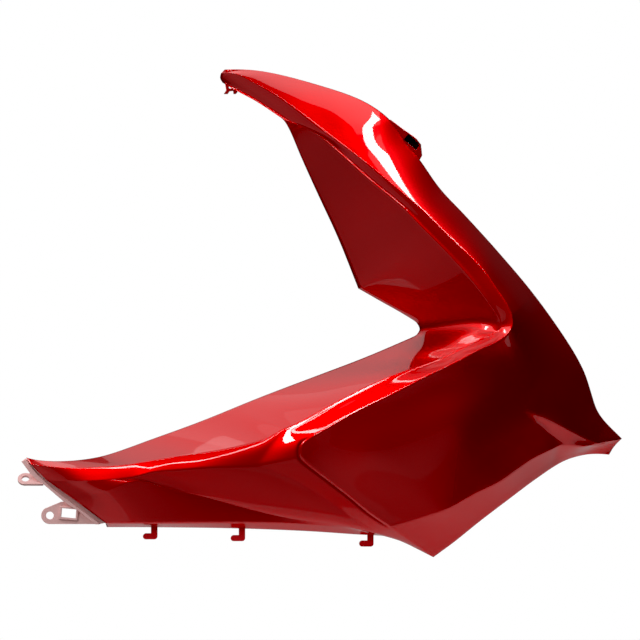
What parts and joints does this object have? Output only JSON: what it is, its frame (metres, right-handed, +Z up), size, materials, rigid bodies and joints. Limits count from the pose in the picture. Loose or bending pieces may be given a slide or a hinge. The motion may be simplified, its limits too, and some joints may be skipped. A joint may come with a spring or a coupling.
{
  "type": "scooter side panel",
  "caption": "Right-hand leg shield and floor side panel of a scooter: one moulded shell with a folded face, two rear screw ears, floor hooks and a slotted front tab.",
  "frame": {"origin": "axis of the lower rear screw hole, on the outboard face of its ear", "axes": "+X forward along the scooter, +Z up, the painted face towards -Y"},
  "size_m": [0.6705, 0.1566, 0.5389],
  "materials": {
    "candy_paint": "candy red metallic paint under a clear coat"
  },
  "bodies": {
    "root": {"side_panel": "candy_paint"}
  },
  "joints": []
}
